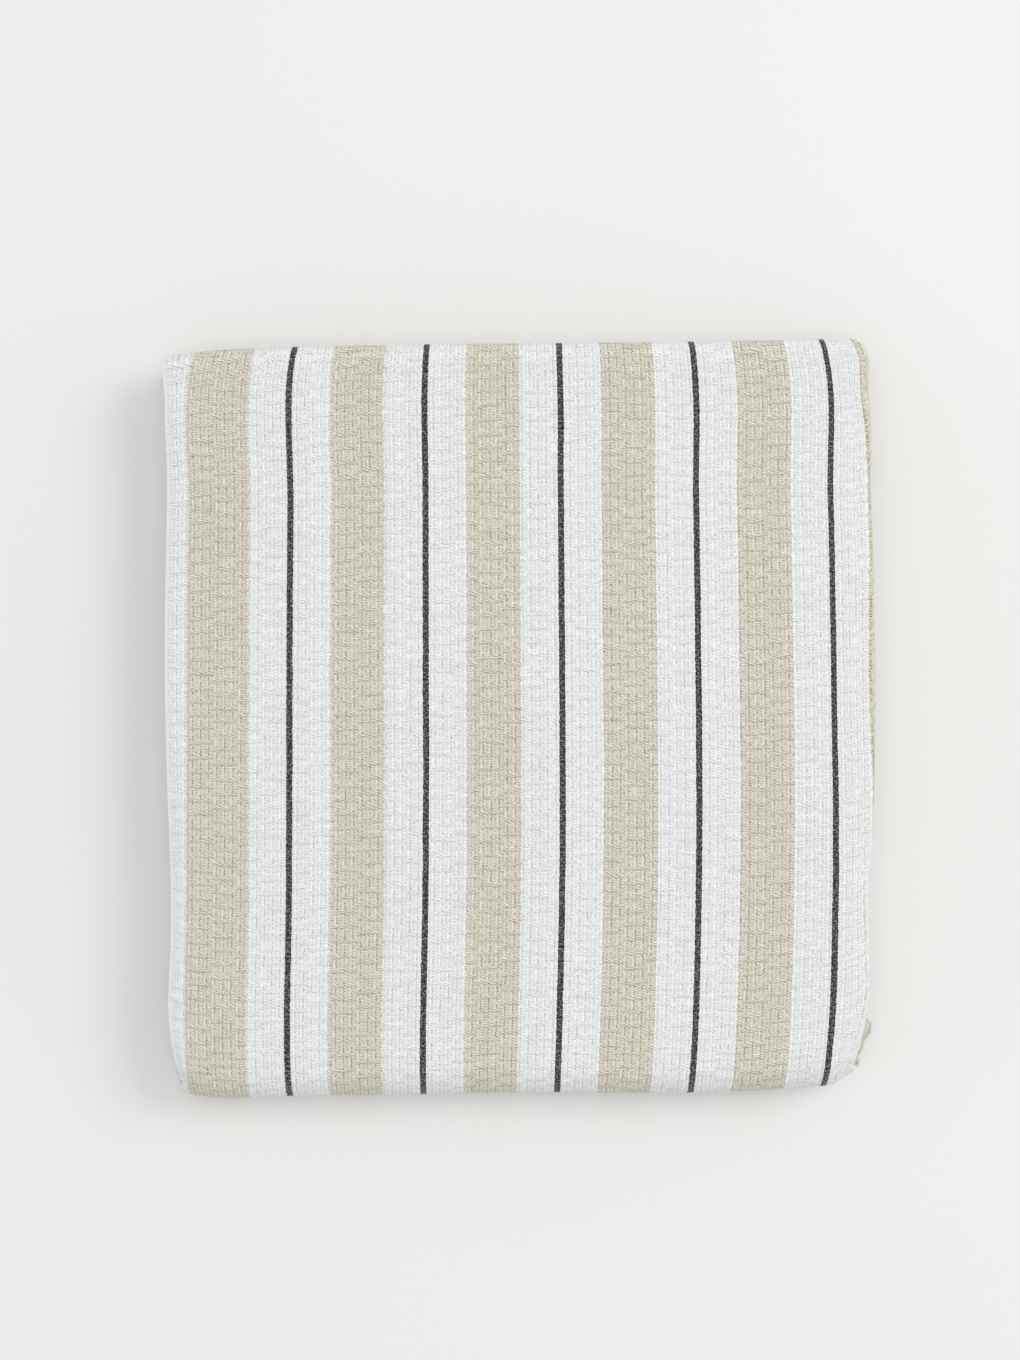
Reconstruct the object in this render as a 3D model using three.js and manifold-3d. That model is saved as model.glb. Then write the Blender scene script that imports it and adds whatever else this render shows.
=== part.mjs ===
// A striped cotton golf towel as it is stored: folded in half lengthwise, then twice in half across.
// Millimetres, +Z up. The origin is on the resting face, under the middle of the folded towel.
// +X runs across the stripes towards the lengthwise fold, and +Y along them towards the rear bend.
import * as THREE from 'three';
import { mergeVertices } from 'three/addons/utils/BufferGeometryUtils.js';
import Module from 'manifold-3d';

// Folded towel
const foldedWidth = 201.2; // from the selvedges to the outside of the lengthwise fold
const foldedLength = 214; // from the outside of the front bend to the outside of the rear bend
const clothThickness = 1.9; // one ply of lofty honeycomb cotton
const clearance = 0.3; // between neighbouring plies and between pieces that lie end to end

// Hemmed short ends, which lie under the rear bend
const hemDepth = 12;
const baseEndInset = 3; // from the outside of the rear bend to the end of the base quarter
const innerEndInset = 6; // the same for the lower inner quarter, which the front bend draws in
const threadWidth = 0.8;
const threadThickness = 0.5;
const threadInset = 2.5; // from the hem's turned-in edge to the middle of its seam
const threadEndInset = 4; // from each end of the hem to the end of its seam

// Hanging loop: a tape doubled into a flat loop, its tails sewn to the hem
const tapeThickness = 0.45;
const loopWidth = 10;
const loopLength = 48;
const loopFromSelvedge = 46; // to the middle of the tape
const sewnInset = 3; // from the end of the hem to the tails of the loop and of the label
const tackWidth = 8;
const tackDepth = 1.8;
const tackThickness = 0.4;
const tackInset = 3; // from the tails of the loop to the middle of its bar tack

// Care label: a satin ribbon doubled over, left blank
const ribbonThickness = 0.35;
const labelWidth = 26;
const labelLength = 34;
const labelFromSelvedge = 88;
const labelSeamWidth = 22;
const labelSeamDepth = 0.9;
const labelSeamInset = 2.5;

// Facets on a half circle
const bendFacets = 16;
const sideFoldFacets = 8;

// The gap between the two halves of the towel takes the loop with its bar tack
const loopHeight = 2 * tapeThickness + clearance;
const middleGap = loopHeight + tackThickness + 3 * clearance;
const pliesInHalf = 4;
const sideFoldReach = clothThickness + clearance / 2; // outside radius of the lengthwise fold

const plyBottom = (ply) => {
  const extra = ply < pliesInHalf ? 0 : middleGap - clearance;
  return ply * (clothThickness + clearance) + extra;
};
const plyTop = (ply) => plyBottom(ply) + clothThickness;
const bottomPly = 0;
const topPly = 2 * pliesInHalf - 1;

const left = -foldedWidth / 2;
const sideFoldX = foldedWidth / 2 - sideFoldReach; // centre line of the lengthwise fold
const clothWidth = sideFoldX - clearance - left;
const frontReach = (plyTop(topPly) - plyBottom(bottomPly)) / 2; // outside radius of the front bend
const rearReach = (plyTop(topPly) - plyBottom(pliesInHalf)) / 2; // outside radius of the rear bend
const frontBendY = -foldedLength / 2 + frontReach;
const rearBendY = foldedLength / 2 - rearReach;
const baseEndY = foldedLength / 2 - baseEndInset;
const innerEndY = foldedLength / 2 - innerEndInset;

const wasm = await Module();
wasm.setup();

const clothFinish = { color: 0xe4e3df, roughness: 0.95, metalness: 0 };
const threadFinish = { color: 0xf0efea, roughness: 0.8, metalness: 0 };
const tapeFinish = { color: 0x46464a, roughness: 0.85, metalness: 0 };
const ribbonFinish = { color: 0xf4f4f1, roughness: 0.45, metalness: 0 };

const towel = new THREE.Group();
towel.name = 'golf_towel';

function addPiece(name, geometry, finish, x, y, z) {
  const mesh = new THREE.Mesh(geometry, new THREE.MeshStandardMaterial(finish));
  mesh.name = name;
  mesh.position.set(x, y, z);
  towel.add(mesh);
}

// Turns an outline drawn in Y and Z into a bar that runs along +X from 0
function alongX(outline, length, facets = 0) {
  const settings = { depth: length, bevelEnabled: false, curveSegments: facets / 2 };
  const bar = new THREE.ExtrudeGeometry(outline, settings);
  const turn = new THREE.Matrix4().makeBasis(
    new THREE.Vector3(0, 1, 0),
    new THREE.Vector3(0, 0, 1),
    new THREE.Vector3(1, 0, 0),
  );
  return bar.applyMatrix4(turn);
}

// Half of a ring around the origin, open towards the given direction
function halfRing(outer, inner, openAt) {
  const from = openAt + Math.PI / 2;
  const to = from + Math.PI;
  const outline = new THREE.Shape();
  outline.absarc(0, 0, outer, from, to, false);
  outline.absarc(0, 0, inner, to, from, true);
  outline.closePath();
  return outline;
}

function solidOf(geometry) {
  geometry.deleteAttribute('normal');
  geometry.deleteAttribute('uv');
  const merged = mergeVertices(geometry);
  return new wasm.Manifold(new wasm.Mesh({
    numProp: 3,
    vertProperties: new Float32Array(merged.attributes.position.array),
    triVerts: new Uint32Array(merged.index.array),
  }));
}

function geometryOf(solid) {
  const { vertProperties, triVerts } = solid.getMesh();
  const geometry = new THREE.BufferGeometry();
  geometry.setAttribute('position', new THREE.BufferAttribute(vertProperties, 3));
  geometry.setIndex(new THREE.BufferAttribute(triVerts, 1));
  return geometry;
}

// One flat ply of a quarter, between a bend at one end and a bend or a hem at the other
function addPly(name, ply, rearY) {
  const frontY = frontBendY + clearance;
  const cloth = new THREE.BoxGeometry(clothWidth, rearY - frontY, clothThickness);
  const middleZ = (plyBottom(ply) + plyTop(ply)) / 2;
  addPiece(name, cloth, clothFinish, left + clothWidth / 2, (frontY + rearY) / 2, middleZ);
}

// The lengthwise fold, where the two plies of a quarter are one cloth
function addSideFold(name, lowerPly, rearY) {
  const frontY = frontBendY + clearance;
  const outline = halfRing(sideFoldReach, clearance / 2, Math.PI);
  const settings = { depth: rearY - frontY, bevelEnabled: false, curveSegments: sideFoldFacets / 2 };
  const fold = new THREE.ExtrudeGeometry(outline, settings).rotateX(Math.PI / 2);
  addPiece(name, fold, clothFinish, sideFoldX, rearY, plyTop(lowerPly) + clearance / 2);
}

// A ply that turns back over itself at the front or at the rear of the towel
function addBend(name, lowerPly, upperPly, y, openAt) {
  const outer = (plyTop(upperPly) - plyBottom(lowerPly)) / 2;
  const inner = outer - clothThickness;
  const bend = alongX(halfRing(outer, inner, openAt), clothWidth, bendFacets);
  addPiece(name, bend, clothFinish, left, y, plyBottom(lowerPly) + outer);
}

// The lengthwise fold where it goes round a bend: half of a turned ring
function addBendSideFold(name, lowerPly, upperPly, y, openAt) {
  const outer = (plyTop(upperPly) - plyBottom(lowerPly)) / 2;
  const outline = halfRing(sideFoldReach, clearance / 2, -Math.PI / 2).getPoints(sideFoldFacets / 2);
  const section = outline.map((p) => new THREE.Vector2(p.x + outer - sideFoldReach, p.y));
  section.push(section[0].clone());
  const ring = solidOf(new THREE.LatheGeometry(section, 2 * bendFacets).rotateZ(-Math.PI / 2));
  const side = 2 * outer + 2 * clearance;
  const keptSide = new THREE.BoxGeometry(side, side, side);
  keptSide.translate(0, -Math.cos(openAt) * side / 2, 0);
  const fold = geometryOf(ring.intersect(solidOf(keptSide)));
  addPiece(name, fold, clothFinish, sideFoldX, y, plyBottom(lowerPly) + outer);
}

// The end of a ply turned in on itself, with a round edge and a groove for its seam
function addHem(name, ply, endY) {
  const half = clothThickness / 2;
  const grooveDepth = threadThickness + clearance;
  const grooveHalf = threadWidth / 2 + clearance;
  const outline = new THREE.Shape();
  outline.moveTo(0, -half);
  outline.lineTo(hemDepth - half, -half);
  outline.absarc(hemDepth - half, 0, half, -Math.PI / 2, Math.PI / 2, false);
  outline.lineTo(threadInset + grooveHalf, half);
  outline.lineTo(threadInset + grooveHalf, half - grooveDepth);
  outline.lineTo(threadInset - grooveHalf, half - grooveDepth);
  outline.lineTo(threadInset - grooveHalf, half);
  outline.lineTo(0, half);
  outline.closePath();
  const hem = alongX(outline, clothWidth, sideFoldFacets);
  addPiece(`${name}_hem`, hem, clothFinish, left, endY - hemDepth, plyBottom(ply) + half);

  const seamLength = clothWidth - 2 * threadEndInset;
  const seam = new THREE.BoxGeometry(seamLength, threadWidth, threadThickness);
  const seamY = endY - hemDepth + threadInset;
  const seamZ = plyTop(ply) - threadThickness / 2;
  addPiece(`${name}_hem_thread`, seam, threadFinish, left + clothWidth / 2, seamY, seamZ);
}

// A ribbon doubled flat, its bend at the front and its tails at the rear, from 0 to length
function doubledRibbon(thickness, length, width) {
  const outer = thickness + clearance / 2;
  const inner = clearance / 2;
  const outline = new THREE.Shape();
  outline.absarc(outer, 0, outer, Math.PI / 2, 3 * Math.PI / 2, false);
  outline.lineTo(length, -outer);
  outline.lineTo(length, -inner);
  outline.absarc(outer, 0, inner, 3 * Math.PI / 2, Math.PI / 2, true);
  outline.lineTo(length, inner);
  outline.lineTo(length, outer);
  outline.closePath();
  return alongX(outline, width, sideFoldFacets);
}

function addSewnOn(name, seamName, piece) {
  const bottom = plyTop(pliesInHalf - 1) + clearance;
  const height = 2 * piece.thickness + clearance;
  const tailsY = innerEndY - sewnInset;
  const ribbon = doubledRibbon(piece.thickness, piece.length, piece.width);
  const ribbonX = left + piece.fromSelvedge - piece.width / 2;
  addPiece(name, ribbon, piece.finish, ribbonX, tailsY - piece.length, bottom + height / 2);
  const seam = new THREE.BoxGeometry(piece.seamWidth, piece.seamDepth, tackThickness);
  const seamZ = bottom + height + clearance + tackThickness / 2;
  addPiece(seamName, seam, threadFinish, left + piece.fromSelvedge, tailsY - piece.seamInset, seamZ);
}

const openToRear = 0;
const openToFront = Math.PI;
const quarters = [
  { name: 'base_quarter', endY: baseEndY },
  { name: 'lower_inner_quarter', endY: innerEndY },
  { name: 'upper_inner_quarter' },
  { name: 'top_quarter' },
];
quarters.forEach(({ name, endY }, index) => {
  const bottom = 2 * index;
  const hemmed = endY !== undefined;
  const clothEndY = hemmed ? endY - hemDepth - clearance : rearBendY - clearance;
  addPly(`${name}_bottom_ply`, bottom, clothEndY);
  addPly(`${name}_top_ply`, bottom + 1, clothEndY);
  addSideFold(`${name}_side_fold`, bottom, hemmed ? endY : clothEndY);
  if (hemmed) {
    addHem(`${name}_bottom`, bottom, endY);
    addHem(`${name}_top`, bottom + 1, endY);
  }
});

// Plies are counted from the resting face: each bend joins a ply to one above it
addBend('front_outer_bend_outer_ply', 0, 7, frontBendY, openToRear);
addBend('front_outer_bend_inner_ply', 1, 6, frontBendY, openToRear);
addBendSideFold('front_outer_bend_side_fold', 0, 7, frontBendY, openToRear);
addBend('front_inner_bend_outer_ply', 2, 5, frontBendY, openToRear);
addBend('front_inner_bend_inner_ply', 3, 4, frontBendY, openToRear);
addBendSideFold('front_inner_bend_side_fold', 2, 5, frontBendY, openToRear);
addBend('rear_bend_outer_ply', 4, 7, rearBendY, openToFront);
addBend('rear_bend_inner_ply', 5, 6, rearBendY, openToFront);
addBendSideFold('rear_bend_side_fold', 4, 7, rearBendY, openToFront);

addSewnOn('hanging_loop', 'hanging_loop_bar_tack', {
  thickness: tapeThickness,
  length: loopLength,
  width: loopWidth,
  fromSelvedge: loopFromSelvedge,
  seamWidth: tackWidth,
  seamDepth: tackDepth,
  seamInset: tackInset,
  finish: tapeFinish,
});
addSewnOn('care_label', 'care_label_seam', {
  thickness: ribbonThickness,
  length: labelLength,
  width: labelWidth,
  fromSelvedge: labelFromSelvedge,
  seamWidth: labelSeamWidth,
  seamDepth: labelSeamDepth,
  seamInset: labelSeamInset,
  finish: ribbonFinish,
});

export default towel;
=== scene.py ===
import math

import bpy
import numpy as np
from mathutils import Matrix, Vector


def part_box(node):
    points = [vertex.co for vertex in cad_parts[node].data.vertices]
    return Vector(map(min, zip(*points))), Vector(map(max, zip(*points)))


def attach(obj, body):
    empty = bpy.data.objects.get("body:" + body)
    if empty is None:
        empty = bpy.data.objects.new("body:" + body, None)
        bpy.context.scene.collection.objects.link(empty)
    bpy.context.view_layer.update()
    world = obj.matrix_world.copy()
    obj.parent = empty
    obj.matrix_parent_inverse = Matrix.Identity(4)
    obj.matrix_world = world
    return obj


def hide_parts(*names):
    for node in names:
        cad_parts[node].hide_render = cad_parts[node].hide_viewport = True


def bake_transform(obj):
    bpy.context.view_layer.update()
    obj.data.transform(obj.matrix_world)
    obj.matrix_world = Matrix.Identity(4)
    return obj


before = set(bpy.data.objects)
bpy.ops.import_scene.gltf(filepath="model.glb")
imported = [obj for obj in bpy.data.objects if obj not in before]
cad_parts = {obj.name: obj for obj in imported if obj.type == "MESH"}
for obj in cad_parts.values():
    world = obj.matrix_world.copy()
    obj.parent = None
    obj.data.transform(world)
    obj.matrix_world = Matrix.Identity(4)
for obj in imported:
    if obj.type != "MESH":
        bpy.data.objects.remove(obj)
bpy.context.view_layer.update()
mm = 0.001


def linear(hexColour):
    channels = [int(hexColour[i:i + 2], 16) / 255 for i in (1, 3, 5)]
    return [c / 12.92 if c <= 0.04045 else ((c + 0.055) / 1.055) ** 2.4 for c in channels] + [1.0]


# an input is a value, a socket, or a node, whose first output is then linked
def add(tree, kind, inputs=None, **settings):
    node = tree.nodes.new(kind)
    for name, value in settings.items():
        setattr(node, name, value)
    for key, value in (inputs or {}).items():
        if isinstance(value, bpy.types.Node):
            value = next(o for o in value.outputs if o.enabled)
        if isinstance(value, bpy.types.NodeSocket):
            tree.links.new(value, node.inputs[key])
        else:
            node.inputs[key].default_value = value
    return node


def low(node, axis):
    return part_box(node)[0]["xyz".index(axis)] / mm


def high(node, axis):
    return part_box(node)[1]["xyz".index(axis)] / mm


def middle(node, axis):
    return (low(node, axis) + high(node, axis)) / 2


# camera straight above, the towel's face filling about 70 per cent of the width
cameraSettings = {
    "lens": 70, "sensor": 36,
    "viewHeight": 386.2, "centreX": -2.8, "centreY": 10.5,
}


def makeCamera(s):
    data = bpy.data.cameras.new("topCamera")
    data.lens = s["lens"]
    data.sensor_fit = "VERTICAL"
    data.sensor_height = s["sensor"]
    distance = s["viewHeight"] * s["lens"] / s["sensor"]
    camera = bpy.data.objects.new("topCamera", data)
    above = high("top_quarter_top_ply", "z") + distance
    camera.location = (s["centreX"] * mm, s["centreY"] * mm, above * mm)
    bpy.context.scene.collection.objects.link(camera)
    bpy.context.scene.camera = camera


makeCamera(cameraSettings)
print("camera placed")

# where the plies lie in the stack, from the frame, in millimetres
left = low("top_quarter_top_ply", "x")
sideFoldX = low("top_quarter_side_fold", "x")
frontBendY = high("front_outer_bend_outer_ply", "y")
rearBendY = low("rear_bend_outer_ply", "y")
baseEndY = high("base_quarter_top_hem", "y")
innerEndY = high("lower_inner_quarter_top_hem", "y")
stackHeight = high("top_quarter_top_ply", "z")


def stripHeight(quarter):
    return (low(quarter + "_bottom_ply", "z") + high(quarter + "_top_ply", "z")) / 2


baseZ = stripHeight("base_quarter")
lowerInnerZ = stripHeight("lower_inner_quarter")
upperInnerZ = stripHeight("upper_inner_quarter")
topZ = stripHeight("top_quarter")
plyOffset = (middle("top_quarter_top_ply", "z") - middle("top_quarter_bottom_ply", "z")) / 2
clothRun = sideFoldX - left
flatWidth = 2 * clothRun + math.pi * plyOffset

towelCloth = {
    "thickness": 1.75,
    "edgeThickness": 0.9,  # a selvedge is flatter than the lofty weave beside it
    "step": 2.4,
    "noseSteps": 10,
    "bendSteps": 26,
    "hemDepth": 12.0,
    "hemThickness": 2.05,
    "seamInset": 2.5,
    "seamGroove": 0.3,
}


def ease(t):
    t = np.clip(t, 0, 1)
    return t * t * (3 - 2 * t)


# a smooth curve through a list of (place, value)
def along(values, t):
    places, heights = zip(*values)
    places, heights = np.array(places, float), np.array(heights, float)
    t = np.clip(t, places[0], places[-1])
    k = np.clip(np.searchsorted(places, t, side="right") - 1, 0, len(places) - 2)
    share = (t - places[k]) / (places[k + 1] - places[k])
    slopes = np.gradient(heights, places)
    span = places[k + 1] - places[k]
    a, b = share * share * (3 - 2 * share), share * (1 - share)
    leaning = span * b * ((1 - share) * slopes[k] - share * slopes[k + 1])
    return heights[k] * (1 - a) + heights[k + 1] * a + leaning


# smooth waves of about the given length, within -1 and 1
def ripples(x, y, seed, length, count=7):
    rng = np.random.default_rng(seed)
    total = 0
    for _ in range(count):
        turn, phase, size = rng.uniform(0, math.pi), rng.uniform(0, 2 * math.pi), rng.uniform(0.7, 1.6)
        k = 2 * math.pi / (length * size)
        total = total + np.sin(k * (x * math.cos(turn) + y * math.sin(turn)) + phase)
    return total / count


# how the stack has settled away from a perfect fold; every ply takes it from its place, so at rest
# none crosses another
settled = {
    "spread": [
        (-107, -0.006), (-95, 0.003), (-50, 0.0105), (5, 0.009), (62, 0.0), (102, -0.0095), (107, -0.022),
    ],
    "lean": [(-107, -0.7), (-93, -0.4), (-50, 0.5), (30, 0.45), (100, 0.0)],
    "rearEdge": [(-102, -4.2), (-97, -3.3), (-91, -2.5), (-77, -1.7), (-40, -0.8), (50, 0.2), (100, 1.1)],
    "frontEdge": [(-100, -0.6), (-93, -1.9), (-60, -2.0), (-6, -1.1), (80, 0.2), (90, 1.1), (100, 4.6)],
    # selvedges and lengthwise folds curl in or stick out, the top quarter apart from the plies under it
    "leftTop": [
        (-107, 5.6), (-103, 4.6), (-95, 2.7), (-85, 1.6), (-66, 1.9), (-45, 1.7), (-24, 0.8),
        (0, 0.0), (60, -0.2), (85, 0.1), (96, -0.6), (102, -2.2), (107, -3.6),
    ],
    "leftUnder": [
        (-107, 3.4), (-100, 2.6), (-85, 1.6), (-50, 1.7), (0, 0.3), (60, 0.2),
        (88, 0.1), (94, -0.5), (99.5, -2.6), (104, -2.8), (107, -3.6),
    ],
    "rightTop": [
        (-107, -4.5), (-100, -3.4), (-92, -2.2), (-84, -1.4), (-70, -2.0), (-50, -2.3), (-41, -2.0),
        (-24, -1.4), (0, -0.8), (33, -0.5), (62, -0.7), (80, -1.0), (90, -1.7), (95, -1.4), (101, -0.4),
        (104, -0.8), (107, -1.6),
    ],
    "rightUnder": [
        (-107, -3.0), (-101, -1.6), (-97, -1.3), (-94, 0.6), (-90, -1.6), (-84, -2.4), (-50, -3.2),
        (-24, -2.2), (0, -1.5), (33, -1.2), (62, -1.3), (85, -1.9), (99.5, -1.4), (107, -1.6),
    ],
    "foldSlip": [
        (-107, 0.6), (-95, -0.4), (-60, -0.8), (-30, 0.2), (0, 1.3), (80, 1.4), (100, 2.6), (107, 2.8),
    ],
}


def settle(points):
    x, y, z = points.T
    depth = z / stackHeight
    rear, front = ease((y + 30) / 137), ease((30 - y) / 137)
    y2 = y + along(settled["rearEdge"], x) * rear + along(settled["frontEdge"], x) * front
    x2 = x * (1 + along(settled["spread"], y)) + along(settled["lean"], y)
    onTop = ease((depth - 0.7) / 0.12)
    nearLeft, nearRight = 1 - ease((x - left) / 7), ease((x - 90) / 9)
    x2 += nearLeft * (along(settled["leftTop"], y) * onTop + along(settled["leftUnder"], y) * (1 - onTop))
    x2 += nearRight * (along(settled["rightTop"], y) * onTop + along(settled["rightUnder"], y) * (1 - onTop))
    plyWander = (0.4 + 0.7 * ripples(z * 6, y, 11, 60)) * (1 - ease((np.abs(y) - 80) / 14))
    x2 += nearLeft * plyWander * (1 - onTop)
    slump = 1 - 0.055 * np.exp(-(x - left) / 5) - 0.035 * np.exp(-np.maximum(sideFoldX - x, 0) / 6)
    loft = 1 + 0.022 * ripples(x, y, 5, 75) + 0.008 * ripples(x, y, 8, 28)
    z2 = np.maximum(z * slump * loft, 0.01)  # the hem is pressed flat where it meets what it lies on
    return np.column_stack([x2, y2, z2])


# stations along a flat quarter: y, z and the way the cloth's outer side faces
def lineStations(fromY, toY, z, outward, marks=()):
    count = max(2, round(abs(toY - fromY) / towelCloth["step"]))
    ys = sorted({*np.linspace(fromY, toY, count + 1).round(4), *marks}, reverse=toY < fromY)
    return [(y, z, 0.0, outward) for y in ys]


def arcStations(centreY, centreZ, radius, fromTurn, toTurn, side):
    turns = np.radians(np.linspace(fromTurn, toTurn, towelCloth["bendSteps"] + 1))[1:-1]
    ways = [(math.cos(a), math.sin(a)) for a in turns]
    return [(centreY + radius * c, centreZ + radius * d, side * c, side * d) for c, d in ways]


def hemMarks(endY):
    depth, inset, groove = towelCloth["hemDepth"], towelCloth["seamInset"], towelCloth["seamGroove"]
    seam = endY - depth + inset
    turnUnder = [endY - depth - 0.6, endY - depth, endY - depth + 0.5]
    sewn = [seam - 1.0, seam - groove, seam, seam + groove, seam + 1.0]
    return turnUnder + sewn + [endY - 1.0, endY - 0.5, endY - 0.2]


# across the cloth from one selvedge round the lengthwise fold to the other: place, side and distance
def crossSection():
    edge = [0.0, 0.25, 0.6, 1.1, 1.8, 2.8]
    flat = list(np.linspace(4.4, clothRun, round((clothRun - 4.4) / towelCloth["step"]) + 1))
    nose = np.linspace(-math.pi / 2, math.pi / 2, towelCloth["noseSteps"] + 1)[1:-1]
    rows = [(left + u, -plyOffset, 0.0, -1.0, u) for u in edge + flat]
    for a in nose:
        u = clothRun + (a + math.pi / 2) * plyOffset
        c, d = math.cos(a), math.sin(a)
        rows.append((sideFoldX + plyOffset * c, plyOffset * d, c, d, u))
    rows += [(left + u, plyOffset, 0.0, 1.0, flatWidth - u) for u in reversed(edge + flat)]
    return np.array(rows)


def clothThickness(u, fromEnd):
    s = towelCloth
    edge = np.minimum(u, flatWidth - u)
    thick = s["edgeThickness"] + (s["thickness"] - s["edgeThickness"]) * ease(edge / 2.2)
    if fromEnd is None:
        return thick
    inHem = ease((s["hemDepth"] + 0.3 - fromEnd) / 0.6)
    seam = math.exp(-((fromEnd - s["hemDepth"] + s["seamInset"]) / 0.6) ** 2)
    roundEnd = math.sqrt(max(0.02, 1 - (1 - min(fromEnd, 1.0)) ** 2))
    hem = s["hemThickness"] * (1 - 0.28 * seam) * roundEnd
    return thick * (1 - inHem) + np.minimum(hem, thick + 0.3) * inHem


# a closed mesh from the two skins of a sheet, grids of points in millimetres, with their flat places as UV
def closedSheet(name, skins, places):
    count, across = skins[0].shape[:2]
    vertices = np.vstack([settle(skin.reshape(-1, 3)) for skin in skins]) * mm
    grid = np.arange(count * across).reshape(count, across)
    a, b, c, d = grid[:-1, :-1], grid[:-1, 1:], grid[1:, 1:], grid[1:, :-1]
    outside = np.stack([a, d, c, b], -1).reshape(-1, 4)
    inside = np.stack([a, b, c, d], -1).reshape(-1, 4) + count * across
    faces, rims = [outside, inside], []
    for rim in (grid[0, :], grid[:, -1], grid[-1, ::-1], grid[::-1, 0]):
        under = rim + count * across
        rims.append(np.stack([rim[:-1], rim[1:], under[1:], under[:-1]], -1))
    mesh = bpy.data.meshes.new(name)
    mesh.from_pydata(vertices.tolist(), [], np.vstack(faces + rims).tolist())
    layer = mesh.uv_layers.new(name="clothMillimetres")
    flatPlaces = np.vstack([places.reshape(-1, 2)] * 2) / 100
    corners = np.zeros(len(mesh.loops), np.int32)
    mesh.loops.foreach_get("vertex_index", corners)
    layer.data.foreach_set("uv", flatPlaces[corners].astype(np.float32).ravel())
    mesh.shade_smooth()
    obj = bpy.data.objects.new(name, mesh)
    bpy.context.scene.collection.objects.link(obj)
    print(name, "has", len(mesh.polygons), "faces")
    return obj, grid


# one closed piece of cloth through the stations, starting at a distance along the strip, after a turn
def makeCloth(name, stations, start, turned, hemZ, hemEnd):
    rows = crossSection()
    x, h, nx, nh, u = rows.T
    across, count = len(rows), len(stations)
    skins = [np.zeros((count, across, 3)), np.zeros((count, across, 3))]
    places = np.zeros((count, across, 2))
    for i, (y, z, ny, nz) in enumerate(stations):
        if i:
            y0, z0, ny0, nz0 = stations[i - 1]
            start += math.dist((y, z), (y0, z0))
            turned -= math.atan2(ny0 * nz - nz0 * ny, ny0 * ny + nz0 * nz)
        fromEnd = abs(hemEnd - y) if abs(z - hemZ) < 0.01 else None
        thick = clothThickness(u, fromEnd)
        for skin, sign in zip(skins, (0.5, -0.5)):
            reach = h + sign * thick * nh
            skin[i] = np.column_stack([x + sign * thick * nx, y + reach * ny, z + reach * nz])
        flatX = flatWidth - u
        slip = along(settled["foldSlip"], y)  # the lengthwise fold falls a little off centre
        flatX = flatX + slip * np.exp(-((flatX - clothRun) / 8) ** 2)
        places[i] = np.column_stack([flatX, start + h * turned])  # the outer ply goes the longer way round
    obj, grid = closedSheet(name, skins, places)
    joined = grid[-1 if hemEnd == stations[0][0] else 0]  # the end that the other piece carries on from
    rim = {*joined.tolist(), *(joined + count * across).tolist()}
    for edge in obj.data.edges:
        edge.use_edge_sharp = rim.issuperset(edge.vertices)
    return obj, start, turned


halfHeight = (baseZ + topZ) / 2
rearZ = (upperInnerZ + topZ) / 2
rearArc = arcStations(rearBendY, rearZ, topZ - rearZ, 90, -90, 1.0)
halfArc = len(rearArc) // 2
outerStations = (
    lineStations(baseEndY, frontBendY, baseZ, -1.0, hemMarks(baseEndY))
    + arcStations(frontBendY, halfHeight, topZ - halfHeight, 270, 90, 1.0)
    + lineStations(frontBendY, rearBendY, topZ, 1.0)
    + rearArc[:halfArc + 1]
)
innerStations = (
    rearArc[halfArc:]
    + lineStations(rearBendY, frontBendY, upperInnerZ, -1.0)
    + arcStations(frontBendY, halfHeight, upperInnerZ - halfHeight, 90, 270, -1.0)
    + lineStations(frontBendY, innerEndY, lowerInnerZ, 1.0, hemMarks(innerEndY))
)
outerCloth, outerLength, outerTurn = makeCloth("outerCloth", outerStations, 0.0, 0.0, baseZ, baseEndY)
innerCloth, wholeLength, _ = makeCloth(
    "innerCloth", innerStations, outerLength, outerTurn, lowerInnerZ, innerEndY,
)

weave = {
    "end": 0.5675,  # warp spacing, millimetres
    "pick": 0.663,  # weft spacing
    "cellEnds": 4.0,  # two ends float side by side as a bar, two weave plain
    "cellPicks": 6.0,
    "barPicks": 4.0,
    "slant": 0.6,  # how many picks a plain stroke climbs across its pair
    "strandSlant": 0.3,  # how many picks a floating strand drops from one end to the next
    "blockEnds": 12.0,  # the next block of cells is dropped by half a cell
    "firstWhite": 6.1,
    "firstBeige": 17.5,
    "repeat": 38.4,
    "white": 10.7,
    "line": 1.75,
    "secondWhite": 10.75,
    "border": 6.1,
    "selvedge": 1.2,
    "colours": {  # painted shade between the threads, the thread, painted highlight on the raised floats
        "white": ("#b4b6b8", "#e7e9e9", "#f8f9f9"),
        "beige": ("#7e735b", "#cec9b8", "#edeadf"),
        "charcoal": ("#0e0d0d", "#2e2c2b", "#4e4b49"),
    },
    "fleck": "#adacaa",  # pale lint on the charcoal yarn
    "fleckShare": 0.55,
}


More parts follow.
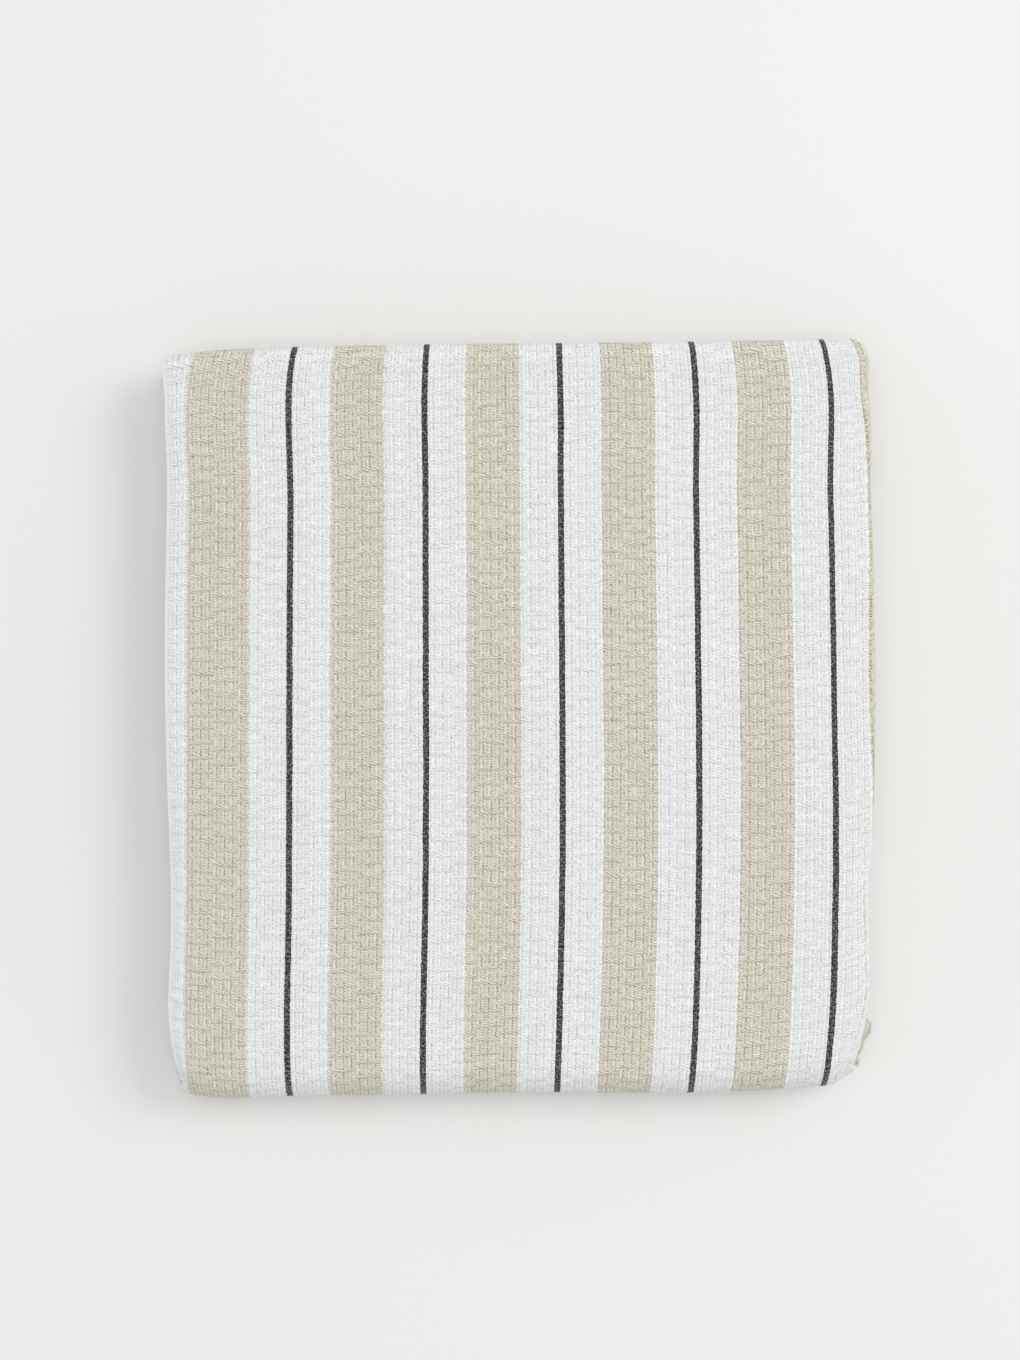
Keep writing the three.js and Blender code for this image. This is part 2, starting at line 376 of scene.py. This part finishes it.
def makeClothMaterial(s):
    # cotton huck honeycomb, washed: matt and lofty, small raised bars between rows of holes
    material = bpy.data.materials.new("honeycombCottonWashed")
    material.use_nodes = True
    t = material.node_tree
    t.nodes.clear()
    maths, mix = "ShaderNodeMath", "ShaderNodeMix"
    noise, split = "ShaderNodeTexNoise", "ShaderNodeSeparateColor"
    times, minus, fused = "MULTIPLY", "SUBTRACT", "MULTIPLY_ADD"

    # the place on the flat cloth in millimetres, with the small wander of every thread
    uv = add(t, "ShaderNodeUVMap", uv_map="clothMillimetres")
    place = add(t, "ShaderNodeSeparateXYZ", {0: uv}).outputs
    slow = add(t, noise, {"Vector": uv, "Scale": 6.0, "Detail": 1.0})
    quick = add(t, noise, {"Vector": uv, "Scale": 90.0, "Detail": 1.0})
    drift, jitter = (add(t, split, {0: wander.outputs["Color"]}).outputs for wander in (slow, quick))
    u = add(t, maths, {0: drift[0], 1: 0.3, 2: -0.4}, operation=fused)
    u = add(t, maths, {0: jitter[0], 1: 0.5, 2: u}, operation=fused)
    u = add(t, maths, {0: place[0], 1: 100.0, 2: u}, operation=fused)
    v = add(t, maths, {0: drift[1], 1: 2.4, 2: -1.5}, operation=fused)
    v = add(t, maths, {0: jitter[1], 1: 0.6, 2: v}, operation=fused)
    v = add(t, maths, {0: place[1], 1: 100.0, 2: v}, operation=fused)

    # stripes, by distance from the first selvedge
    lineEnd = s["white"] + s["line"]
    past = add(t, maths, {0: u, 1: s["firstWhite"] + s["firstBeige"]}, operation=minus)
    started = add(t, maths, {0: past, 1: 0.0}, operation="GREATER_THAN")
    inRepeat = add(t, maths, {0: past, 1: s["repeat"]}, operation="FLOORED_MODULO")
    afterWhite = add(t, maths, {0: inRepeat, 1: s["white"]}, operation="GREATER_THAN")
    beforeEnd = add(t, maths, {0: inRepeat, 1: lineEnd}, operation="LESS_THAN")
    isLine = add(t, maths, {0: afterWhite, 1: beforeEnd}, operation=times)
    isLine = add(t, maths, {0: isLine, 1: started}, operation=times)
    laterBeige = add(t, maths, {0: inRepeat, 1: lineEnd + s["secondWhite"]}, operation="GREATER_THAN")
    firstBeige = add(t, maths, {0: u, 1: s["firstWhite"]}, operation="GREATER_THAN")
    isBeige = add(t, mix, {0: started, 2: firstBeige, 3: laterBeige})
    beforeBorder = add(t, maths, {0: u, 1: flatWidth - s["border"]}, operation="LESS_THAN")
    isBeige = add(t, maths, {0: isBeige, 1: beforeBorder}, operation=times)

    # where a thread lies in its cell; blocks of cells are staggered like bricks
    ends = add(t, maths, {0: u, 1: s["end"]}, operation="DIVIDE")
    block = add(t, maths, {0: ends, 1: s["blockEnds"]}, operation="DIVIDE")
    block = add(t, maths, {0: block}, operation="FLOOR")
    block = add(t, maths, {0: block, 1: 2.0}, operation="FLOORED_MODULO")
    picks = add(t, maths, {0: v, 1: s["pick"]}, operation="DIVIDE")
    picks = add(t, maths, {0: block, 1: s["cellPicks"] / 2, 2: picks}, operation=fused)
    pairs = add(t, maths, {0: ends, 1: 2.0}, operation="DIVIDE")
    pair = add(t, maths, {0: pairs}, operation="FRACT")
    pairSeed = add(t, maths, {0: pairs}, operation="FLOOR")
    pairTone = add(t, "ShaderNodeTexWhiteNoise", {"W": pairSeed}, noise_dimensions="1D").outputs["Value"]
    acrossPair = add(t, maths, {0: add(t, maths, {0: pair, 1: math.pi}, operation=times)}, operation="SINE")
    inCell = add(t, maths, {0: ends, 1: s["cellEnds"]}, operation="FLOORED_MODULO")
    paired = add(t, maths, {0: inCell, 1: 2.0}, operation="LESS_THAN")
    pickInCell = add(t, maths, {0: pairTone, 1: 0.4, 2: picks}, operation=fused)
    pickInCell = add(t, maths, {0: pickInCell, 1: s["cellPicks"]}, operation="FLOORED_MODULO")
    barRow = add(t, maths, {0: pickInCell, 1: s["barPicks"]}, operation="LESS_THAN")
    isBar = add(t, maths, {0: paired, 1: barRow}, operation=times)

    # heights: bars stand up, plain pairs show slanting strokes, and a pick floats where the bars turn under
    patches = add(t, noise, {"Vector": uv, "Scale": 30.0, "Detail": 3.0}).outputs["Color"]
    patches = add(t, split, {0: patches}).outputs
    lively = add(t, maths, {0: patches[0], 1: 3.0, 2: -1.0}, operation=fused, use_clamp=True)
    lively = add(t, maths, {0: lively, 1: 0.7, 2: 0.3}, operation=fused)
    wavy = add(t, maths, {0: patches[1], 1: 1.4, 2: picks}, operation=fused)
    slanting = add(t, maths, {0: pair, 1: s["slant"], 2: wavy}, operation=fused)
    slanting = add(t, maths, {0: slanting}, operation="FRACT")
    stroke = add(t, maths, {0: add(t, maths, {0: slanting, 1: math.pi}, operation=times)}, operation="SINE")
    barShape = add(t, maths, {0: acrossPair, 1: 1.3}, operation="POWER")
    barShape = add(t, maths, {0: barShape, 1: lively}, operation=times)
    barHeight = add(t, maths, {0: stroke, 1: 0.2, 2: 0.3}, operation=fused)
    barHeight = add(t, maths, {0: barShape, 1: 0.36, 2: barHeight}, operation=fused)
    plainHeight = add(t, maths, {0: acrossPair, 1: -0.08, 2: 0.58}, operation=fused)
    plainHeight = add(t, maths, {0: stroke, 1: plainHeight, 2: 0.26}, operation=fused)
    turning = add(t, maths, {0: pickInCell, 1: s["barPicks"]}, operation=minus)
    turning = add(t, maths, {0: turning, 1: s["cellPicks"] - s["barPicks"]}, operation="DIVIDE")
    turning = add(t, maths, {0: add(t, maths, {0: turning}, operation="ABSOLUTE"), 1: 0.3}, operation="POWER")
    strand = add(t, maths, {0: inCell, 1: s["strandSlant"], 2: wavy}, operation=fused)
    strand = add(t, maths, {0: strand}, operation="FRACT")
    strand = add(t, maths, {0: add(t, maths, {0: strand, 1: math.pi}, operation=times)}, operation="SINE")
    floatHeight = add(t, maths, {0: strand, 1: turning}, operation=times)
    floatHeight = add(t, maths, {0: floatHeight, 1: 0.72, 2: 0.16}, operation=fused)
    height = add(t, mix, {0: barRow, 2: floatHeight, 3: plainHeight})
    height = add(t, mix, {0: isBar, 2: height, 3: barHeight})

    # the holes between pairs open in some places, more on one side of a bar, and close in others
    hole = add(t, maths, {0: 1.0, 1: acrossPair}, operation=minus)
    hole = add(t, maths, {0: hole, 1: 2.0}, operation="POWER")
    hole = add(t, maths, {0: hole, 1: add(t, maths, {0: 1.0, 1: stroke}, operation=minus)}, operation=times)
    openHere = add(t, maths, {0: patches[2], 1: 3.0, 2: -0.6}, operation=fused, use_clamp=True)
    hole = add(t, maths, {0: hole, 1: openHere}, operation=times)
    besideBar = add(t, maths, {0: inCell, 1: math.pi / s["cellEnds"]}, operation=times)
    besideBar = add(t, maths, {0: besideBar}, operation="SINE")
    besideBar = add(t, maths, {0: besideBar, 1: 0.8, 2: 0.2}, operation=fused)
    hole = add(t, maths, {0: hole, 1: besideBar}, operation=times)
    gap = add(t, maths, {0: pairs}, operation="ROUND")
    row = add(t, maths, {0: wavy}, operation="FLOOR")
    holePlace = add(t, "ShaderNodeCombineXYZ", {0: gap, 1: row})
    holeSize = add(t, "ShaderNodeTexWhiteNoise", {"Vector": holePlace}, noise_dimensions="2D")
    holeSize = holeSize.outputs["Value"]
    holeSize = add(t, maths, {0: holeSize, 1: 2.0, 2: -0.35}, operation=fused, use_clamp=True)
    hole = add(t, maths, {0: hole, 1: holeSize}, operation=times)
    holeDepth = add(t, maths, {0: barRow, 1: -0.8, 2: -1.0}, operation=fused)
    height = add(t, maths, {0: hole, 1: holeDepth, 2: height}, operation=fused)
    grain = add(t, noise, {"Vector": uv, "Scale": 190.0, "Detail": 2.0})
    grain = add(t, maths, {0: grain, 1: 0.5}, operation=minus)
    height = add(t, maths, {0: grain, 1: 0.5, 2: height}, operation=fused)

    # a selvedge is a plain narrow band
    roundPick = add(t, maths, {0: add(t, maths, {0: picks}, operation="FRACT"), 1: math.pi}, operation=times)
    roundPick = add(t, maths, {0: roundPick}, operation="SINE")
    plainBand = add(t, maths, {0: roundPick, 1: 0.2, 2: 0.5}, operation=fused)
    fromFar = add(t, maths, {0: flatWidth, 1: u}, operation=minus)
    toEdge = add(t, maths, {0: u, 1: fromFar}, operation="MINIMUM")
    inWeave = add(t, maths, {0: toEdge, 1: s["selvedge"]}, operation="GREATER_THAN")
    height = add(t, mix, {0: inWeave, 2: plainBand, 3: height})

    # every end and every pick is a little lighter or darker than its neighbours
    endSeed, pickSeed = (add(t, maths, {0: threads}, operation="FLOOR") for threads in (ends, picks))
    endTone = add(t, "ShaderNodeTexWhiteNoise", {"W": endSeed}, noise_dimensions="1D").outputs["Value"]
    pickTone = add(t, "ShaderNodeTexWhiteNoise", {"W": pickSeed}, noise_dimensions="1D").outputs["Value"]
    speckle = add(t, noise, {"Vector": uv, "Scale": 150.0, "Detail": 2.0})
    slubPlace = add(t, "ShaderNodeCombineXYZ", {0: u, 1: v})
    slubPlace = add(t, "ShaderNodeVectorMath", {0: slubPlace, 1: (0.14, 1.3, 0.0)}, operation="MULTIPLY")
    slub = add(t, noise, {"Vector": slubPlace, "Scale": 1.0})
    tone = add(t, maths, {0: endTone, 1: 0.05, 2: 0.7}, operation=fused)
    tone = add(t, maths, {0: pickTone, 1: 0.04, 2: tone}, operation=fused)
    tone = add(t, maths, {0: slub, 1: 0.28, 2: tone}, operation=fused)
    tone = add(t, maths, {0: speckle, 1: 0.24, 2: tone}, operation=fused)

    # yarn colours by height: painted shade in the gaps between threads, the thread's own colour, painted
    # highlight on the raised floats and bars
    paintedGapShade = add(t, "ShaderNodeMapRange", {0: height, "From Min": -0.01, "From Max": 0.46})
    paintedRaisedHighlight = add(t, "ShaderNodeMapRange", {0: height, "From Min": 0.46, "From Max": 0.86})
    yarns = {}
    for yarn, colours in s["colours"].items():
        # the darkest colour is painted shade in the holes, the lightest a painted highlight on the highest
        # threads
        gap, thread, paintedHighlightColour = (linear(c) for c in colours)
        lit = add(t, mix, {0: paintedRaisedHighlight, 6: thread, 7: paintedHighlightColour}, data_type="RGBA")
        yarns[yarn] = add(t, mix, {0: paintedGapShade, 6: gap, 7: lit}, data_type="RGBA")
    fleck = add(t, maths, {0: speckle, 1: 0.53}, operation="GREATER_THAN")
    fleck = add(t, maths, {0: stroke, 1: fleck}, operation=times)
    fleck = add(t, maths, {0: fleck, 1: s["fleckShare"]}, operation=times)
    line = add(t, mix, {0: fleck, 6: yarns["charcoal"], 7: linear(s["fleck"])}, data_type="RGBA")
    colour = add(t, mix, {0: isBeige, 6: yarns["white"], 7: yarns["beige"]}, data_type="RGBA")
    colour = add(t, mix, {0: isLine, 6: colour, 7: line}, data_type="RGBA")
    colour = add(t, "ShaderNodeVectorMath", {0: colour, "Scale": tone}, operation="SCALE")

    fluff = add(t, noise, {"Vector": uv, "Scale": 320.0, "Detail": 3.0})
    relief = add(t, maths, {0: fluff, 1: 0.3, 2: height}, operation=fused)
    bump = add(t, "ShaderNodeBump", {"Height": relief, "Strength": 0.5, "Distance": 0.3 * mm})
    roughness = add(t, maths, {0: height, 1: -0.1, 2: 0.95}, operation=fused)
    shader = add(t, "ShaderNodeBsdfPrincipled", {
        "Base Color": colour, "Normal": bump, "Roughness": roughness,
        "Sheen Weight": 0.15, "Sheen Roughness": 0.6, "Specular IOR Level": 0.2,
    })
    add(t, "ShaderNodeOutputMaterial", {0: shader})
    return material


clothMaterial = makeClothMaterial(weave)
for piece in (outerCloth, innerCloth):
    piece.data.materials.append(clothMaterial)
print("cloth woven")

# hanging loop and care label: ribbons doubled flat on the inner hem
loopSettings = {"node": "hanging_loop", "thickness": 0.42, "edge": 0.3}
labelSettings = {"node": "care_label", "thickness": 0.3, "edge": 0.2}


# a closed ribbon from its upper tail round its bend to its lower tail, with its length in metres
def makeRibbon(name, s):
    x0, x1 = low(s["node"], "x"), high(s["node"], "x")
    frontY, tailY = low(s["node"], "y"), high(s["node"], "y")
    z = middle(s["node"], "z")
    reach = (high(s["node"], "z") - low(s["node"], "z") - s["thickness"]) / 2
    bendY = frontY + reach + s["thickness"] / 2
    path = [(y, z + reach, 0.0, 1.0) for y in np.linspace(tailY, bendY, 28)]
    path += [
        (bendY + reach * math.cos(a), z + reach * math.sin(a), math.cos(a), math.sin(a))
        for a in np.radians(np.linspace(90, 270, 9))[1:-1]
    ]
    path += [(y, z - reach, 0.0, -1.0) for y in np.linspace(bendY, tailY, 28)]
    xs = np.array([x0, x0 + s["edge"], *np.linspace(x0, x1, 9)[1:-1], x1 - s["edge"], x1])
    thick = np.full(len(xs), s["thickness"])
    thick[[0, -1]] *= 0.5
    count, across, run = len(path), len(xs), 0.0
    skins = [np.zeros((count, across, 3)), np.zeros((count, across, 3))]
    places = np.zeros((count, across, 2))
    for i, (y, z, ny, nz) in enumerate(path):
        run += math.dist((y, z), path[i - 1][:2]) if i else 0.0
        for skin, sign in zip(skins, (0.5, -0.5)):
            skin[i] = np.column_stack([xs, y + sign * thick * ny, z + sign * thick * nz])
        places[i] = np.column_stack([xs - x0, np.full(across, run)])
    return closedSheet(name, skins, places)[0], run * mm


# rows of lockstitch, in millimetres
hemSeam = {"spacing": 2.9, "length": 2.5, "radius": 0.3, "turn": 0.0, "seed": 3}
barTack = {"spacing": 0.55, "length": 1.9, "radius": 0.22, "turn": math.pi / 2, "seed": 4}
labelSeam = {"spacing": 2.2, "length": 1.8, "radius": 0.2, "turn": 0.0, "seed": 5}


def stitchTree(material):
    tree = bpy.data.node_groups.new("lockstitchRow", "GeometryNodeTree")
    face = tree.interface
    face.new_socket("Geometry", in_out="INPUT", socket_type="NodeSocketGeometry")
    for label in ("Spacing", "Stitch Length", "Thread Radius", "Turn"):
        face.new_socket(label, in_out="INPUT", socket_type="NodeSocketFloat")
    face.new_socket("Seed", in_out="INPUT", socket_type="NodeSocketInt")
    face.new_socket("Geometry", in_out="OUTPUT", socket_type="NodeSocketGeometry")
    given = add(tree, "NodeGroupInput").outputs
    curve = add(tree, "GeometryNodeMeshToCurve", {0: given["Geometry"]})
    spaced = {"Curve": curve, "Length": given["Spacing"]}
    evenly = add(tree, "GeometryNodeResampleCurve", spaced, mode="LENGTH")
    points = add(tree, "GeometryNodeCurveToPoints", {0: evenly}, mode="EVALUATED")
    stitch = add(tree, "GeometryNodeMeshUVSphere", {"Segments": 6, "Rings": 5, "Radius": 0.5})
    width = add(tree, "ShaderNodeMath", {0: given["Thread Radius"], 1: 2.0}, operation="MULTIPLY")
    size = add(tree, "ShaderNodeCombineXYZ", {"X": given["Stitch Length"], "Y": width, "Z": width})
    spans = {2: -0.06, 3: 0.06, "Seed": given["Seed"]}
    uneven = add(tree, "FunctionNodeRandomValue", spans, data_type="FLOAT")
    turn = add(tree, "ShaderNodeMath", {0: given["Turn"], 1: uneven.outputs[1]}, operation="ADD")
    heading = add(tree, "ShaderNodeCombineXYZ", {"Z": turn})
    placed = add(tree, "GeometryNodeInstanceOnPoints", {
        "Points": points, "Instance": stitch, "Rotation": heading.outputs[0], "Scale": size,
    })
    real = add(tree, "GeometryNodeRealizeInstances", {0: placed})
    painted = add(tree, "GeometryNodeSetMaterial", {"Geometry": real, "Material": material})
    add(tree, "NodeGroupOutput", {0: painted})
    return tree


# one row for each run of points
def makeStitches(name, s, runs, tree):
    vertices, edges = [], []
    for run in runs:
        first = len(vertices)
        vertices += [tuple(c * mm for c in p) for p in run]
        edges += [(first + i, first + i + 1) for i in range(len(run) - 1)]
    mesh = bpy.data.meshes.new(name + "Path")
    mesh.from_pydata(vertices, edges, [])
    guide = bpy.data.objects.new(name + "Path", mesh)
    bpy.context.scene.collection.objects.link(guide)
    modifier = guide.modifiers.new("stitches", "NODES")
    modifier.node_group = tree
    wanted = {
        "Spacing": s["spacing"] * mm, "Stitch Length": s["length"] * mm, "Thread Radius": s["radius"] * mm,
        "Turn": s["turn"], "Seed": s["seed"],
    }
    for item in tree.interface.items_tree:
        if item.in_out == "INPUT" and item.name in wanted:
            modifier[item.identifier] = wanted[item.name]
    evaluated = guide.evaluated_get(bpy.context.evaluated_depsgraph_get())
    plain = bpy.data.meshes.new_from_object(evaluated)
    plain.name = name
    bpy.data.objects.remove(guide)
    plain.shade_smooth()
    obj = bpy.data.objects.new(name, plain)
    bpy.context.scene.collection.objects.link(obj)
    return obj


# along the middle of a seam's node, where the cloth it is sewn in has settled
def seamRun(node, steps=60):
    xs = np.linspace(low(node, "x"), high(node, "x"), steps)
    place = np.column_stack([xs, np.full(steps, middle(node, "y")), np.full(steps, middle(node, "z"))])
    return settle(place)


def makeThreadMaterial():
    # spun polyester sewing thread: off-white, a slight sheen, its twist showing as fine slanting lines
    material = bpy.data.materials.new("spunPolyesterThread")
    material.use_nodes = True
    t = material.node_tree
    t.nodes.clear()
    place = add(t, "ShaderNodeTexCoord").outputs["Object"]
    wave = {0: place, "Scale": 900.0, "Distortion": 1.0}
    twist = add(t, "ShaderNodeTexWave", wave, bands_direction="DIAGONAL")
    shade = twist.outputs["Fac"]
    colour = add(t, "ShaderNodeMix", {0: shade, 6: linear("#d9d7cf"), 7: linear("#f3f2ec")}, data_type="RGBA")
    bump = add(t, "ShaderNodeBump", {"Height": shade, "Strength": 0.5, "Distance": 0.05 * mm})
    shader = add(t, "ShaderNodeBsdfPrincipled", {
        "Base Color": colour, "Normal": bump, "Roughness": 0.55, "Sheen Weight": 0.2,
    })
    add(t, "ShaderNodeOutputMaterial", {0: shader})
    return material


def makeTapeMaterial():
    # cotton twill tape: charcoal, matt, fine slanting ribs under a little lint
    material = bpy.data.materials.new("cottonTwillTape")
    material.use_nodes = True
    t = material.node_tree
    t.nodes.clear()
    uv = add(t, "ShaderNodeUVMap", uv_map="clothMillimetres")
    wave = {0: uv, "Scale": 60.0, "Distortion": 0.6}
    ribs = add(t, "ShaderNodeTexWave", wave, bands_direction="DIAGONAL")
    lint = add(t, "ShaderNodeTexNoise", {"Vector": uv, "Scale": 200.0, "Detail": 3.0})
    shade = add(t, "ShaderNodeMath", {0: ribs.outputs["Fac"], 1: 0.7}, operation="MULTIPLY")
    shade = add(t, "ShaderNodeMath", {0: lint, 1: 0.4, 2: shade}, operation="MULTIPLY_ADD")
    colour = add(t, "ShaderNodeMix", {0: shade, 6: linear("#2b2b2d"), 7: linear("#58585b")}, data_type="RGBA")
    bump = add(t, "ShaderNodeBump", {"Height": shade, "Strength": 0.6, "Distance": 0.15 * mm})
    shader = add(t, "ShaderNodeBsdfPrincipled", {
        "Base Color": colour, "Normal": bump, "Roughness": 0.9, "Sheen Weight": 0.2,
    })
    add(t, "ShaderNodeOutputMaterial", {0: shader})
    return material


def makeSatinMaterial():
    # polyester label satin: white, smooth floats that shine along the ribbon
    material = bpy.data.materials.new("polyesterLabelSatin")
    material.use_nodes = True
    t = material.node_tree
    t.nodes.clear()
    uv = add(t, "ShaderNodeUVMap", uv_map="clothMillimetres")
    stretched = add(t, "ShaderNodeMapping", {"Vector": uv, "Scale": (300.0, 30.0, 1.0)})
    floats = add(t, "ShaderNodeTexNoise", {"Vector": stretched, "Scale": 1.0, "Detail": 2.0})
    tones = {0: floats, 6: linear("#dedfdf"), 7: linear("#f7f7f5")}
    colour = add(t, "ShaderNodeMix", tones, data_type="RGBA")
    bump = add(t, "ShaderNodeBump", {"Height": floats, "Strength": 0.25, "Distance": 0.03 * mm})
    shader = add(t, "ShaderNodeBsdfPrincipled", {
        "Base Color": colour, "Normal": bump, "Roughness": 0.38, "Anisotropic": 0.4,
    })
    add(t, "ShaderNodeOutputMaterial", {0: shader})
    return material


hangingLoop, loopLength = makeRibbon("hangingLoop", loopSettings)
hangingLoop.data.materials.append(makeTapeMaterial())
careLabel, labelLength = makeRibbon("careLabel", labelSettings)
careLabel.data.materials.append(makeSatinMaterial())
print("loop", round(loopLength / mm), "mm and label", round(labelLength / mm), "mm of ribbon")

lockstitch = stitchTree(makeThreadMaterial())
hemThreads = [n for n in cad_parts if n.endswith("hem_thread")]
hemStitches = makeStitches("hemStitches", hemSeam, [seamRun(n) for n in hemThreads], lockstitch)
tackStitches = makeStitches("loopBarTack", barTack, [seamRun("hanging_loop_bar_tack", 12)], lockstitch)
labelStitches = makeStitches("labelStitches", labelSeam, [seamRun("care_label_seam", 20)], lockstitch)
print("seams sewn")

studio = {
    "floorHalf": 3.0,
    "board": ("#f1f1f0", "#efefee"),
    "paintedShadeTone": "#eeeeec",  # painted shade: the board is a little greyer around the towel
    "paintedShadeFrom": 0.115,  # metres from the middle, where the painted shade begins to fade and where it ends
    "paintedShadeTo": 0.165,
    "paintedShadeShape": (0.74, 1.0, 0.0),
    "room": 0.575,
    "lights": [  # name, place, size, power
        ("softboxRight", (1.55, 0.75, 1.5), 1.2, 17.0),
        ("softboxAbove", (-0.2, 0.1, 3.6), 3.0, 34.0),
    ],
}


def makeStudio(s):
    # matt painted board: even and pale, barely mottled; painted shade greys it around the towel
    material = bpy.data.materials.new("paintedBoardMatt")
    material.use_nodes = True
    t = material.node_tree
    t.nodes.clear()
    place = add(t, "ShaderNodeTexCoord").outputs["Object"]
    mottle = add(t, "ShaderNodeTexNoise", {"Vector": place, "Scale": 4.0})
    pale, grey = (linear(c) for c in s["board"])
    board = add(t, "ShaderNodeMix", {0: mottle, 6: pale, 7: grey}, data_type="RGBA")
    # painted shade: greyer within an oval around the towel, fading outwards
    wide = add(t, "ShaderNodeVectorMath", {0: place, 1: s["paintedShadeShape"]}, operation="MULTIPLY")
    away = add(t, "ShaderNodeVectorMath", {0: wide}, operation="LENGTH").outputs["Value"]
    outsidePaintedShade = add(t, "ShaderNodeMapRange", {
        0: away, "From Min": s["paintedShadeFrom"], "From Max": s["paintedShadeTo"],
    }, interpolation_type="SMOOTHSTEP")
    colour = add(t, "ShaderNodeMix", {0: outsidePaintedShade, 6: linear(s["paintedShadeTone"]), 7: board}, data_type="RGBA")
    shader = add(t, "ShaderNodeBsdfPrincipled", {"Base Color": colour, "Roughness": 0.9})
    add(t, "ShaderNodeOutputMaterial", {0: shader})
    half = s["floorHalf"]
    mesh = bpy.data.meshes.new("studioFloor")
    corners = [(-half, -half, 0), (half, -half, 0), (half, half, 0), (-half, half, 0)]
    mesh.from_pydata(corners, [], [(0, 1, 2, 3)])
    mesh.materials.append(material)
    floor = bpy.data.objects.new("studioFloor", mesh)
    bpy.context.scene.collection.objects.link(floor)
    for name, spot, size, power in s["lights"]:
        data = bpy.data.lights.new(name, "AREA")
        data.shape = "SQUARE"
        data.size = size
        data.energy = power
        lamp = bpy.data.objects.new(name, data)
        lamp.location = spot
        lamp.rotation_euler = (-Vector(spot)).to_track_quat("-Z", "Y").to_euler()
        bpy.context.scene.collection.objects.link(lamp)
    world = bpy.data.worlds.new("studioRoom")
    world.use_nodes = True
    background = world.node_tree.nodes["Background"]
    background.inputs["Color"].default_value = linear("#ffffff")
    background.inputs["Strength"].default_value = s["room"]
    bpy.context.scene.world = world


makeStudio(studio)
bpy.context.scene.view_settings.view_transform = "Standard"
print("studio lit")

# what rides on what
small = ("thread", "tack", "seam", "loop", "label")
clothNodes = [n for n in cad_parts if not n.endswith(small)]
outerNodes = [n for n in clothNodes if n.startswith(("base_quarter", "front_outer", "top_quarter"))]
innerNodes = [n for n in clothNodes if n not in outerNodes]
smallPieces = [
    (hangingLoop, "loop_tape", ["hanging_loop"]),
    (careLabel, "label_satin", ["care_label"]),
    (hemStitches, "sewing_thread", hemThreads),
    (tackStitches, "sewing_thread", ["hanging_loop_bar_tack"]),
    (labelStitches, "sewing_thread", ["care_label_seam"]),
]
for piece, slot, nodes in smallPieces:
    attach(piece, "lower_half")
    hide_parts(*nodes)
for piece, nodes in ((outerCloth, outerNodes), (innerCloth, innerNodes)):
    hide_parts(*nodes)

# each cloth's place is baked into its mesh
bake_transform(outerCloth)
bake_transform(innerCloth)
# the loop is 10 mm wide, and declared a hair wider to stay clear of the smallest side of a sheet
print("cloth", round(flatWidth), "by", round(wholeLength), "mm unfolded")
